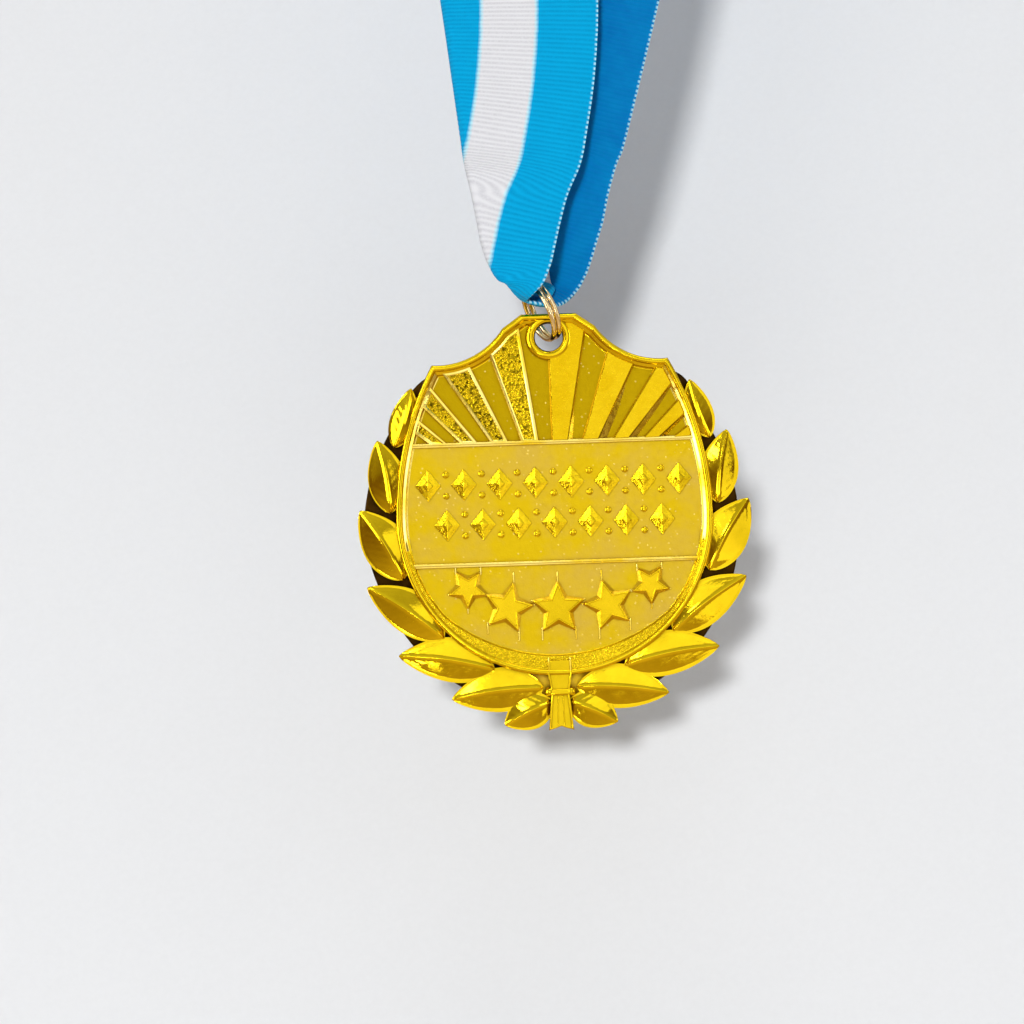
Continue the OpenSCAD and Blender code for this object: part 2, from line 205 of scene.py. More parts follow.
def frosting_group():
    """Coarse sparkling grain, as sand-blasted places of the mould leave it."""
    tree, takes, gives = new_group("frosting", {"Grains": 3600.0, "Fine": 9000.0}, ("Height", "Glint"))
    place = where(tree)
    bend = put(tree, "TexNoise", Vector=place, Scale=takes["Fine"], Detail=1.0).outputs["Color"]
    shift = put(tree, "VectorMath", operation="SCALE", i0=bend, Scale=0.00012).outputs[0]
    moved = put_row("VectorMath", (place, shift), operation="ADD")
    cells = put(tree, "TexVoronoi", Vector=moved, Scale=takes["Grains"]).outputs
    fill(gives["Height"], cells["Distance"])
    fill(gives["Glint"], ranged(put_row("SeparateColor", (cells["Color"],)), 0.55, 0.95))
    return tree


def grains_group():
    """Few small raised grains, as dust in the mould leaves them."""
    tree, takes, gives = new_group("mould_grains", {"Spacing": 1100.0, "Size": 0.17}, ("Mask",))
    cells = put(tree, "TexVoronoi", Vector=where(tree), Scale=takes["Spacing"]).outputs
    near = ranged(cells["Distance"], takes["Size"], times(takes["Size"], 0.5))
    chance = put(tree, "SeparateColor", i0=cells["Color"]).outputs[1]
    fill(gives["Mask"], times(near, calc("GREATER_THAN", chance, 0.45)))
    return tree


def patches_and_recess_shade_group():
    """Uneven plating in broad patches, and a mask of the recesses, found by ambient occlusion, for painted
    brown shade.
    """
    tree, takes, gives = new_group("plating_patches_and_painted_recess_shade", {"Patches": 160.0, "Recess": 0.0008}, ("Patch", "Recessed"))
    broad = put(tree, "TexNoise", Vector=where(tree), Scale=takes["Patches"], Detail=4.0, Roughness=0.6)
    fill(gives["Patch"], ranged(broad.outputs["Fac"], 0.4, 0.68))
    open_sky = put(tree, "AmbientOcclusion", samples=6, Distance=takes["Recess"]).outputs["AO"]
    fill(gives["Recessed"], ranged(open_sky, 0.85, 0.35))
    return tree


CAST_SKIN = cast_skin_group()
FROSTING = frosting_group()
GRAINS = grains_group()
PATCHES_AND_RECESS_SHADE = patches_and_recess_shade_group()


# Finishes

def gold(name, colour, patch, rough, depth, peel=900.0, pits=0.3, recess=0.55, frost=None,
         shade_brown=(0.16, 0.06, 0.002, 1), fan_shade=None, speck_glints=0.0):
    """Plated gold: base colour, colour of its patches, roughness at low and high, and depth of its skin.

    Frost is the grain's fineness, its height and how much of it is painted dark, as grains in shade. Fan is a
    darker colour painted on the floor between the rays as shade, and specks says how much the mould's raised
    grains show, painted pale as glints. Recess says how much painted brown shade darkens the recesses."""
    mat, tree, shader = material(name)
    skin = placed(tree, CAST_SKIN, Peel=peel, Pit_depth=pits)
    patches_and_shade = placed(tree, PATCHES_AND_RECESS_SHADE)
    tone = mixed(patches_and_shade["Patch"], (*colour, 1), (*patch, 1))
    height, glint = skin["Height"], skin["High"]
    if frost:
        grain = placed(tree, FROSTING, Grains=frost[0])
        height = calc("ADD", times(grain["Height"], frost[1]), height)
        glint = grain["Glint"]
        # Painted shade: some grains darkened, standing in for grains that reflect dark
        dark = (*(0.16 * c for c in colour), 1)
        tone = mixed(times(glint, frost[2]), tone, dark)
    # Painted shade: a darker colour on the floor above the panel's top bar, between the rays
    if fan_shade:
        up = put(tree, "SeparateXYZ", i0=where(tree)).outputs[2]
        above = calc("GREATER_THAN", up, (PLATE_MIDDLE + PANEL_TOP) * MM)
        tone = mixed(above, tone, (*fan_shade, 1))
    # Painted glints: the raised grains are coloured paler as well as bumped
    if speck_glints:
        mask = times(placed(tree, GRAINS)["Mask"], speck_glints)
        tone = mixed(mask, tone, (1.0, 0.86, 0.25, 1))
        height = calc("ADD", mask, height)
    # Painted shade: brown mixed into the colour where ambient occlusion finds recesses
    tone = mixed(times(patches_and_shade["Recessed"], recess), tone, shade_brown)
    finish(shader, tone, ranged(glint, 0.0, 1.0, *rough), height, depth, 1.0, {"Metallic": 1.0})
    return mat


YELLOW = (0.92, 0.67, 0.012)
MUSTARD = (0.76, 0.55, 0.008)
TAN = (0.70, 0.50, 0.06)
BRIGHT = (1.0, 0.87, 0.24)

# Paler gold painted as highlight on edges, bevels, bars, star sides and hairlines; its low roughness is
# polish
GOLD_BRIGHT = gold("gold_polished_edges_painted_highlight", BRIGHT, YELLOW, (0.12, 0.22), 0.02, recess=0.3)
GOLD_RIM = gold("gold_smooth_rim", YELLOW, MUSTARD, (0.16, 0.27), 0.025, recess=0.35)
# The cast floor, with painted shade between the rays
GOLD_FLOOR = gold("gold_cast_floor", MUSTARD, TAN, (0.32, 0.44), 0.035, 1500, 0.45, 0.75,
                  fan_shade=(0.52, 0.36, 0.003), speck_glints=0.45)
GOLD_BAND = gold("gold_stippled_band", YELLOW, MUSTARD, (0.24, 0.36), 0.09, 2600, 0.6, 0.4,
                 (3400.0, 0.8, 0.07))
GOLD_FROSTED = gold("gold_frosted_rays", YELLOW, MUSTARD, (0.22, 0.4), 0.11, 2000, 0.5,
                    frost=(3800.0, 1.2, 0.9))
# A darker copy of the frosted finish, painted as shade on the three outer left rays
GOLD_FROSTED_SHADE = gold("gold_frosted_rays_painted_shade", (0.70, 0.50, 0.01), MUSTARD, (0.22, 0.4), 0.11, 2000, 0.5,
                 frost=(3800.0, 1.3, 1.0))
GOLD_SATIN = gold("gold_satin_rays", (0.79, 0.54, 0.005), (0.90, 0.66, 0.012), (0.27, 0.4), 0.05, 1700, 0.4)
# Floor gold darkened as painted shade, for the slopes beside the right rays
GOLD_HOLLOW = gold("gold_ray_hollow_painted_shade", (0.66, 0.46, 0.01), TAN, (0.2, 0.34), 0.05, 1500, 0.4, 0.9)
GOLD_LEAF = gold("gold_laurel", YELLOW, MUSTARD, (0.07, 0.16), 0.014, 650, 0.3, 0.8)
GOLD_PLATE = gold("gold_back_plate", (0.74, 0.52, 0.01), TAN, (0.3, 0.45), 0.05, 700, 0.5, 0.85)
# Near-black gold painted as shade on the plate's front between the leaves and on the bore's wall
GOLD_RECESS = gold("gold_painted_recess_shade", (0.06, 0.028, 0.003), (0.02, 0.01, 0.002), (0.3, 0.5), 0.06, 900, 0.6,
                   0.9, shade_brown=(0.01, 0.004, 0.001, 1))
GOLD_RELIEF = gold("gold_small_relief", YELLOW, MUSTARD, (0.2, 0.32), 0.04, 1400, 0.4, 0.6)


def ring_finish():
    """Pale drawn wire with fine marks along it."""
    mat, tree, shader = material("wire_pale_brass")
    marks = noise_at(tree, 0.12, 3.0)
    tone = mixed(noise_at(tree, 1.1), (0.95, 0.80, 0.46, 1), (0.85, 0.68, 0.36, 1))
    finish(shader, tone, ranged(marks, 0.3, 0.7, 0.10, 0.24), marks, 0.01, 0.6, {"Metallic": 1.0})
    return mat


# Stripes of the ribbon, from its selvedge, and the pitch of its ribs, in millimetres
RIBBON_W = 23.0
BLUE_W = 7.95
RIB_PITCH = 0.65
SKY = (0.0, 0.35, 0.68, 1)
# A deeper blue painted on the ribbon's inner face as shade
INNER_SHADE_BLUE = (0.0, 0.125, 0.43, 1)
PALE_SKY = (0.0, 0.47, 0.80, 1)
WHITE = (0.74, 0.75, 0.78, 1)
PICOT = (0.42, 0.80, 0.92, 1)
STITCH = (0.42, 0.76, 0.90, 1)
# Colours of painted shade in the grooves between the ribs
GROOVE_SHADE_BLUE = (0.0, 0.20, 0.46, 1)
GROOVE_SHADE_WHITE = (0.42, 0.42, 0.47, 1)


def ribbon_finish():
    """Ribbed woven cloth: sky blue, white, sky blue, with a deeper blue painted on its inner face as shade,
    and shade painted in the grooves between its ribs.
    """
    mat, tree, shader = material("ribbon_grosgrain")
    thread = put(tree, "Attribute", attribute_name="thread").outputs["Vector"]
    across, along, inner = put(tree, "SeparateXYZ", i0=thread).outputs
    wobble = noise_at(tree, 0.7)
    ragged = calc("ADD", across, calc("MULTIPLY_ADD", wobble, 0.16, -0.08))
    middle = calc("ABSOLUTE", calc("SUBTRACT", ragged, RIBBON_W / 2))
    half_white = RIBBON_W / 2 - BLUE_W
    white = ranged(middle, half_white + 0.12, half_white - 0.12)
    border = ranged(calc("ABSOLUTE", calc("SUBTRACT", middle, half_white)), 0.34, 0.08)
    phase = times(along, 2 * math.pi / RIB_PITCH)
    rib = calc("MULTIPLY_ADD", calc("COSINE", phase), 0.5, 0.5)
    warp = calc("MULTIPLY_ADD", calc("SINE", times(across, 21.0)), 0.5, 0.5)
    fine = noise_at(tree, 0.22, 2.0, 0.6)
    groove_shade = times(calc("SUBTRACT", 1.0, rib), fine)
    # Painted shade: the inner face takes the deeper blue
    blue = mixed(ranged(inner, 0.0, 1.0), SKY, INNER_SHADE_BLUE)
    blue = mixed(times(noise_at(tree, 2.6, 3.0, 0.6), 0.35), blue, PALE_SKY)
    cloth = mixed(times(border, 0.75), mixed(white, blue, WHITE), PICOT)
    # Painted shade: the grooves between the ribs are darkened
    cloth = mixed(times(groove_shade, 0.72), cloth, mixed(white, GROOVE_SHADE_BLUE, GROOVE_SHADE_WHITE))
    edge = ranged(calc("SUBTRACT", RIBBON_W / 2, middle), 0.34, 0.10)
    dashes = ranged(calc("ADD", calc("SINE", phase), wobble), -0.1, 0.9)
    cloth = mixed(times(edge, dashes), cloth, STITCH)
    height = calc("ADD", times(warp, 0.12), times(fine, 0.25))
    height = calc("ADD", height, rib)
    finish(shader, cloth, ranged(rib, 0.0, 1.0, 0.72, 0.5), height, 0.055, 0.9,
           {"Sheen Weight": 0.06, "Sheen Roughness": 0.4, "Specular IOR Level": 0.05})
    return mat


# Meshes

def eased(s):
    s = min(1.0, max(0.0, s))
    return s * s * (3 - 2 * s)


def around(x, y, radius, angle):
    """The place at a distance and an angle from another."""
    return x + radius * math.cos(angle), y + radius * math.sin(angle)


def turns(sides):
    """The angles of a ring of points."""
    return [2 * math.pi * i / sides for i in range(sides)]


def strip(rows, n, loop=False):
    """Quads between rows of points, each row a closed ring of n."""
    return [(r * n + i, r * n + (i + 1) % n, (r + 1) % rows * n + (i + 1) % n, (r + 1) % rows * n + i)
            for r in range(rows if loop else rows - 1) for i in range(n)]


def closed(rows, n):
    """The same, with a face over the first row and one over the last."""
    return strip(rows, n) + [tuple(range(n))[::-1], tuple(range((rows - 1) * n, rows * n))]


def last_place(low, high, holds):
    """The place between two others up to which a test holds."""
    for step in range(40):
        middle = (low + high) / 2
        low, high = (middle, high) if holds(middle) else (low, middle)
    return low


def linked(thing):
    bpy.context.scene.collection.objects.link(thing)
    return thing


def solid(name, points, faces, mats=(), picks=None):
    """An object from points in metres, with its faces turned outwards."""
    mesh = bpy.data.meshes.new(name)
    mesh.from_pydata(points, [], faces)
    for mat in mats:
        mesh.materials.append(mat)
    if picks:
        mesh.polygons.foreach_set("material_index", picks)
    shape = bmesh.new()
    shape.from_mesh(mesh)
    bmesh.ops.recalc_face_normals(shape, faces=shape.faces)
    shape.to_mesh(mesh)
    shape.free()
    return linked(bpy.data.objects.new(name, mesh))


def shown(name, points, faces, mats, sharp, picks=None, body="medal"):
    """A piece of the object, with smooth faces and sharp edges past an angle."""
    piece = solid(name, points, faces, mats, picks)
    piece.data.shade_smooth()
    piece.data.set_sharp_from_angle(angle=math.radians(sharp))
    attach(piece, body)
    return piece


def even_normals(piece):
    piece.modifiers.new("even_normals", "WEIGHTED_NORMAL").keep_sharp = True


def cast(name, parts, mats, sharp=32.0, picks=None, even=True):
    """One piece of the medal from several closed forms."""
    points, faces = [], []
    for part_points, part_faces in parts:
        faces += [tuple(len(points) + i for i in f) for f in part_faces]
        points += [at(*p) for p in part_points]
    piece = shown(name, points, faces, mats, sharp, picks)
    if even:
        even_normals(piece)
    return piece


def inset(outline, depth):
    """The outline drawn in by a depth, corner by corner. It runs counter-clockwise."""
    made = []
    for a, b, c in zip(outline[-1:] + outline, outline, outline[1:] + outline[:1]):
        into, out = (b - a).normalized(), (c - b).normalized()
        normal = Vector((-into.y - out.y, into.x + out.x))
        made.append(b + normal * (depth / max(0.35, normal.length_squared / 2)))
    return made


def turned_ccw(outline):
    area = sum(a.cross(b) for a, b in zip(outline, outline[1:] + outline[:1]))
    return outline if area > 0 else outline[::-1]


def stacked(outline, rings):
    """A closed form on an outline, from rings that are each drawn in by a depth, at a height."""
    outline = turned_ccw([Vector(p) for p in outline])
    points = [(p.x, p.y, h) for depth, h in rings for p in inset(outline, depth)]
    return points, closed(len(rings), len(outline))


def relief(outline, low, high, round_w, steps=3):
    """A closed form on an outline, with upright sides and a rounded upper edge."""
    rings = [(0.0, low)]
    for k in range(steps + 1):
        a = math.pi / 2 * k / steps
        rings.append((round_w * (1 - math.cos(a)), high - round_w * (1 - math.sin(a))))
    return stacked(outline, rings)


def bar(x0, y0, x1, y1, half, low, high, round_w):
    """A straight ridge between two places."""
    a, b = Vector((x0, y0)), Vector((x1, y1))
    side = (b - a).normalized().orthogonal() * half
    return relief([a - side, b - side, b + side, a + side], low, high, round_w)


def dome(x, y, radius, low, high, sides=20, rings=5):
    """A pellet or bead: half a ball on a foot that is sunk."""
    bends = [math.pi / 2 * k / rings for k in range(1, rings + 1)]
    rows = [(radius * math.sin(a), low + (high - low) * math.cos(a)) for a in bends] + [(radius, low - SUNK)]
    points = [(*around(x, y, r, b), h) for r, h in rows for b in turns(sides)] + [(x, y, high)]
    faces = strip(len(rows), sides) + [tuple(range(rings * sides, len(rows) * sides))]
    return points, faces + [(len(points) - 1, i, (i + 1) % sides) for i in range(sides)]


# The shield's outline, as distances from its heart

FAR = 1e3


def meets_circle(x, y, radius, way, side=1):
    """Distance to the far side of a circle, or with side -1 to its near side."""
    mid = Vector((x, y)) - HEART
    b = way.dot(mid)
    rest = b * b - mid.length_squared + radius * radius
    return b + side * math.sqrt(rest) if rest > 0 and (side > 0 or b > 0) else FAR


def meets_line(normal, reach, way):
    """Distance to the line of points whose share along the normal is reach."""
    slope = normal.dot(way)
    return (reach - normal.dot(HEART)) / slope if slope > 1e-6 else FAR


def meets_shoulders(grown, way):
    return [meets_circle(side * SHOULDER.x, SHOULDER.y, SHOULDER_R + grown, way, -1) for side in (-1, 1)]


def shield_at(way, depth):
    """The shield's edge, drawn in by a depth. Only the tab is cut by its two slopes."""
    if way.y < 0:
        return HALF_W - depth
    reach = meets_shoulders(depth, way) + [meets_line(UPRIGHT, TAB_TOP - depth, way)]
    for side in (-1, 1):
        reach.append(meets_circle(side * (SIDE_R - HALF_W), HEART.y, SIDE_R - depth, way))
        if abs(way.x) < TAB_SHARE * way.y:
            normal = Vector((side * math.sin(TAB_CUT), math.cos(TAB_CUT)))
            corner = Vector((side * (TAB_HALF_W - depth / 2), TAB_TOP - depth))
            reach.append(meets_line(normal, normal.dot(corner), way))
    return min(reach)


def field_at(way):
    """The inner edge of the stippled band."""
    return min(shield_at(way, RIM_W + BAND_W), meets_circle(0, FIELD_R - FIELD_DROP, FIELD_R, way))


def plate_at(way):
    """The plate's edge, trimmed more to the right and below, and standing out beside the shield's corners."""
    trim = TRIM_LEAST + TRIM_MORE * max(eased((way.x + 0.5) / 0.9), eased(-way.y / 0.5))
    off = math.degrees(math.atan2(way.y, abs(way.x))) - CORNER_BEARING
    corner = math.exp(-(off / CORNER_SPAN) ** 2)
    trim = trim * (1 - corner) - CORNER_OUT * corner
    reach = [meets_circle(0, 0, PLATE_R - trim, way), meets_line(UPRIGHT, PLATE_CUT, way)]
    return min(reach + meets_shoulders(0.2, way))


def pointing(degrees, side=1):
    """A way at a bearing from the right, or its mirror image to the left."""
    return Vector((side * math.cos(math.radians(degrees)), math.sin(math.radians(degrees))))


# Ways out from the heart, closer together over the shoulders and the tab
WAYS = []
bearing = 0.0
while bearing < 360:
    WAYS.append(pointing(bearing))
    bearing += 0.25 if 44 <= bearing < 136 else 0.8


def spot(way, reach):
    """A place at a distance from the heart."""
    return HEART.x + way.x * reach, HEART.y + way.y * reach


def from_heart(name, rings, mats, picks, sharp):
    """A closed form of rings of (distance, height) round the heart. A pick is for a ring or for its ways."""
    n = len(WAYS)
    points = [at(*spot(w, d), h) for ring in rings for w, (d, h) in zip(WAYS, ring)]
    faces = strip(len(rings), n)
    for ring, r in ((rings[0], 0), (rings[-1], len(rings) - 1)):
        points.append(at(*HEART, sum(h for d, h in ring) / n))
        faces += [(len(points) - 1, r * n + i, r * n + (i + 1) % n) for i in range(n)]
    rows = [p if isinstance(p, list) else [p] * n for p in picks]
    picked = sum(rows[:len(rings) - 1] + [rows[0], rows[-1]], [])
    return shown(name, points, faces, mats, sharp, picked)


def bored(piece):
    """Cuts the bore of the eyelet through a piece."""
    sides = 72
    points = [at(*around(0, BORE_UP, BORE_R, a), h) for h in (-1.0, 5.0) for a in turns(sides)]
    drill = solid("drill", points, closed(2, sides))
    cut = piece.modifiers.new("bore", "BOOLEAN")
    cut.operation, cut.solver, cut.object = "DIFFERENCE", "EXACT", drill
    graph = bpy.context.evaluated_depsgraph_get()
    mesh = bpy.data.meshes.new_from_object(piece.evaluated_get(graph), depsgraph=graph)
    piece.modifiers.clear()
    piece.data = mesh
    bpy.data.meshes.remove(drill.data)
    return piece


def rough_at(x, y, size, seed):
    return noise.noise(Vector((x / size + seed, y / size, seed * 0.37)))


def floor_ring(share, edge, height, amount, size):
    """A ring of floor at a share of the edge's distance, with its cast unevenness."""
    ring = []
    for w in WAYS:
        d = edge(w) * share
        x, y = spot(w, d)
        uneven = rough_at(x, y, size, 3.1) + 0.5 * rough_at(x, y, size / 2.7, 7.7)
        ring.append((d, height + amount * uneven))
    return ring


BACK_RINGS = 33
LIT_FOOT = -0.95
# The plate's edge, from back to front: how far in, and height
PLATE_EDGE = (
    (0.32, 0.0), (0.14, 0.04), (0.04, 0.14), (0, 0.3), (0, PLATE_T - 0.25), (0.05, PLATE_T - 0.1),
    (0.16, PLATE_T - 0.02), (0.3, PLATE_T), (6.0, PLATE_T))


def plate_piece():
    """The round plate behind the shield, and the back of the tab. Its front is painted dark as shade, save at
    the foot.
    """
    def edge(way):
        return max(plate_at(way), shield_at(way, 0))

    rings = [floor_ring(k / (BACK_RINGS + 1), edge, 0.0, 0.012, 1.4) for k in range(1, BACK_RINGS + 1)]
    rings += [[(edge(w) - depth, h) for w in WAYS] for depth, h in PLATE_EDGE]
    front = [0 if w.y < LIT_FOOT else 1 for w in WAYS]
    picks = [0] * (BACK_RINGS + 4) + [front] * 4
    return bored(from_heart("medal_plate", rings, [GOLD_PLATE, GOLD_RECESS], picks, 40))


def band_share(way):
    """1 where the stippled band runs, low down, and 0 where the rim slopes straight to the floor."""
    return eased(-0.1 - 2.5 * way.y)


# The shield's rim from outside to inside: how far in, and height
RIM_EDGE = (
    (0.02, PLATE_T - SUNK), (0.0, PLATE_T - 0.1), (0.0, RIM_H - 0.42), (0.03, RIM_H - 0.28),
    (0.10, RIM_H - 0.15), (0.21, RIM_H - 0.05), (0.36, RIM_H), (0.50, RIM_H - 0.01), (0.62, RIM_H - 0.07),
    (0.71, RIM_H - 0.18), (0.77, RIM_H - 0.32), (0.81, BAND_H + 0.02))
# Shares of the way over the band, and the step down to the floor: how far out, and share of its height
OVER_BAND = (0.06, 0.2, 0.35, 0.5, 0.65, 0.8, 0.92)
FLOOR_STEP = ((0.0, 0.95), (-0.06, 0.7), (-0.11, 0.3), (-0.18, 0.05))
FLOOR_RINGS = 46
SLOPE_DROP = 0.3
BANDED = 0.3
# Steepness from which a way runs to the shoulders and not to the sides
CORNER_UP = 0.79


def shield_piece():
    """Rim, stippled band and sunk field of the shield."""
    rings = [[(shield_at(w, depth), h) for w in WAYS] for depth, h in RIM_EDGE]
    rows = [(w, shield_at(w, RIM_EDGE[-1][0]), field_at(w), band_share(w)) for w in WAYS]
    for share in OVER_BAND:
        ring = []
        for w, inner, edge, low in rows:
            d = inner + (edge - inner) * share
            x, y = spot(w, d)
            stipple = 0.035 * rough_at(x, y, 0.5, 5.5) + 0.03 * rough_at(x, y, 0.22, 1.5)
            ring.append((d, BAND_H + low * stipple - SLOPE_DROP * (1 - low) * share))
        rings.append(ring)
    for depth, share in FLOOR_STEP:
        rings.append([(edge + depth, FLOOR_H + (BAND_H - SLOPE_DROP * (1 - low) - FLOOR_H) * share)
                      for w, inner, edge, low in rows])
    rings += [floor_ring(0.985 * (1 - k / FLOOR_RINGS), field_at, FLOOR_H, 0.018, 0.9)
              for k in range(FLOOR_RINGS)]
    # The rim's inner slope, where no band runs, takes the pale gold of painted highlight
    step = [3 if low <= BANDED and w.y <= CORNER_UP else 0 for w, inner, edge, low in rows]
    slope = [1 if row[-1] > BANDED else pick for row, pick in zip(rows, step)]
    picks = [0] * len(RIM_EDGE) + [slope] * len(OVER_BAND) + [step] * len(FLOOR_STEP) + [2] * FLOOR_RINGS
    bored(from_heart("medal_shield", rings, [GOLD_RIM, GOLD_BAND, GOLD_FLOOR, GOLD_BRIGHT], picks, 50))


def collar_piece():
    """The eyelet's raised collar, and the wall of its bore, which is painted dark as shade."""
    sides, wall = 96, BORE_R - 0.1
    profile = ((wall + 0.04, -0.01), (wall, 0.12), (wall, COLLAR_H - 0.5), (wall + 0.06, COLLAR_H - 0.25),
               (wall + 0.24, COLLAR_H - 0.02), (wall + 0.55, COLLAR_H + 0.08), (COLLAR_R - 0.38, COLLAR_H),
               (COLLAR_R - 0.12, COLLAR_H - 0.18), (COLLAR_R + 0.02, COLLAR_H - 0.42),
               (COLLAR_R + 0.05, FLOOR_H - SUNK), (COLLAR_R - 0.3, 0.0))
    n = len(profile)
    points = [at(*around(0, BORE_UP, r, a), h) for a in turns(sides) for r, h in profile]
    picks = ([1] * 3 + [0] * (n - 3)) * sides
    shown("medal_collar", points, strip(sides, n, loop=True), [GOLD_RIM, GOLD_RECESS], 50, picks)


def leaves_inside(x):
    """Where a line from the rays' focus, through a place on the panel's top, leaves the shield's inside."""
    focus = Vector((0, RAY_FOCUS))
    way = Vector((x, PANEL_TOP - RAY_FOCUS)).normalized()

    def inside(reach):
        place = focus + way * reach - HEART
        return place.length < shield_at(place.normalized(), UNDER_BAND)

    low, stride = (PANEL_TOP - RAY_FOCUS) / way.y, 0.25
    while inside(low + stride):
        low += stride
    return focus + way * last_place(low, low + stride, inside)


def ray_outline(k):
    """One ray, from the panel's top bar to under the band."""
    middle = (k + RAY_SHIFT) * RAY_PITCH
    left, right = middle - RAY_W / 2, middle + RAY_W / 2
    count = max(2, round((leaves_inside(right) - leaves_inside(left)).length / RAY_STEP))
    top = [leaves_inside(right + (left - right) * i / count) for i in range(count + 1)]
    return [Vector((left, PANEL_TOP)), Vector((right, PANEL_TOP))] + top


# Profiles of the rays: how far in from the outline, and height over the floor
SUNK_RAY = ((0.0, -SUNK), (0.0, RAY_H - 0.2), (0.07, RAY_H - 0.08), (0.34, RAY_H - 0.03),
            (0.45, RAY_H - 0.12))
FLAT_RAY = ((0.0, -SUNK), (0.0, 0.1), (0.06, 0.17), (0.18, RAY_H - 0.04), (0.26, RAY_H))


def ray_pieces():
    """Rays on the left with a border in pale gold painted as highlight and a sunk frosted middle, the three
    outermost painted darker as shade, and flat satin ones on the right.
    """
    for name, steps, top, side, profile in (
            ("medal_rays_left", (-4, -3, -2), GOLD_FROSTED_SHADE, GOLD_BRIGHT, SUNK_RAY),
            ("medal_ray_frosted", (-1,), GOLD_FROSTED, GOLD_BRIGHT, SUNK_RAY),
            ("medal_ray_middle", (0,), GOLD_SATIN, GOLD_RIM, FLAT_RAY),
            ("medal_rays_right", (1, 2, 3, 4), GOLD_SATIN, GOLD_RIM, FLAT_RAY)):
        rays = [stacked(ray_outline(k), [(depth, FLOOR_H + h) for depth, h in profile]) for k in steps]
        picks = [pick for points, faces in rays for pick in [1] * (len(faces) - 1) + [0]]
        piece = cast(name, rays, [top, side], 26, picks, even=False)
        even_normals(bored(piece) if 0 in steps else piece)


# Hollows: their ray, how far up they reach, and their width at the panel
HOLLOWS = ((0, 5.0, 0.6), (1, 8.2, 1.05), (2, 8.0, 0.95), (3, 4.4, 0.7))


def hollow(k, reach, width):
    """A slope that runs down from the right side of a ray and narrows upwards."""
    rows, columns = 12, 5
    near = (k + RAY_SHIFT) * RAY_PITCH + RAY_W / 2 - 0.12
    points = []
    for up in (i / rows for i in range(rows + 1)):
        y = PANEL_TOP + reach * up
        spread = (y - RAY_FOCUS) / (PANEL_TOP - RAY_FOCUS)
        out = width * (1 - up) ** 0.8
        slope = [((near + out * s) * spread, y, FLOOR_H - 0.03 + 0.42 * (1 - s) * (1 - up ** 2))
                 for s in (j / columns for j in range(columns + 1))]
        points += slope + [(x, y, FLOOR_H - SUNK) for x, y, h in slope[::-1]]
    return points, closed(rows + 1, 2 * columns + 2)


def clipped(outline, normal, reach):
    """The part of an outline on the near side of a line."""
    kept = []
    for a, b in zip(outline, outline[1:] + outline[:1]):
        da, db = normal.dot(a) - reach, normal.dot(b) - reach
        if da <= 0:
            kept.append(a)
        if da * db < 0:
            kept.append(a + (b - a) * (da / (da - db)))
    return kept


def thinned(outline, least=0.12):
    """Drops points that lie too close together for a rounded edge."""
    kept = []
    for p in outline:
        if not kept or (p - kept[-1]).length > least:
            kept.append(p)
    return kept[:-1] if (kept[0] - kept[-1]).length < least else kept


# Steps of a bar: half its width, its foot and top, and how far up it lies
BAR_STEPS = ((BAR_W / 2, FLOOR_H - SUNK, FLOOR_H + BAR_H * 0.7, 0.0),
             (0.2, FLOOR_H, FLOOR_H + BAR_H + 0.06, 0.08))


def panel_piece():
    """The panel's two bars, each a step with a ridge on it, in pale gold painted as highlight."""
    inside = [HEART + w * shield_at(w, UNDER_BAND) for w in WAYS]
    parts = []
    for y in (PANEL_TOP, PANEL_LOW):
        for half, low, high, lift in BAR_STEPS:
            outline = clipped(inside, UPRIGHT, y + lift + half)
            outline = clipped(outline, -UPRIGHT, -(y + lift - half))
            parts.append(relief(thinned(outline), low, high, min(0.12, half * 0.6)))
    cast("medal_panel_bars", parts, [GOLD_BRIGHT])


def gem(outline, mid, low, edge, peak, soft):
    """A low pointed relief with softened ridges. Its heights are over the floor."""
    outline = turned_ccw([Vector(p) for p in outline])
    n = len(outline)
    shape = bmesh.new()
    foot, lip = ([shape.verts.new((mid[0] + p.x, mid[1] + p.y, FLOOR_H + h)) for p in outline]
                 for h in (low, edge))
    top = shape.verts.new((*mid, FLOOR_H + peak))
    for i in range(n):
        j = (i + 1) % n
        shape.faces.new((foot[i], foot[j], lip[j], lip[i]))
        shape.faces.new((lip[i], lip[j], top))
    shape.faces.new(foot[::-1])
    ridges = [e for e in shape.edges if all(v not in foot for v in e.verts)]
    bmesh.ops.bevel(shape, geom=ridges, offset=soft, segments=2, profile=0.6, affect="EDGES")
    shape.verts.index_update()
    points = [tuple(v.co) for v in shape.verts]
    faces = [tuple(v.index for v in f.verts) for f in shape.faces]
    shape.free()
    return points, faces


LOZENGE_PITCH = 4.6
LOZENGE = ((-1.65, 0), (0, 2.05), (1.65, 0), (0, -2.05))
SMALL_LOZENGE = [(0.42 * x, 0.42 * y) for x, y in LOZENGE]
ROW_GAP = (PANEL_TOP - PANEL_LOW) / 3
PELLET_RISE = 4.1 / 3


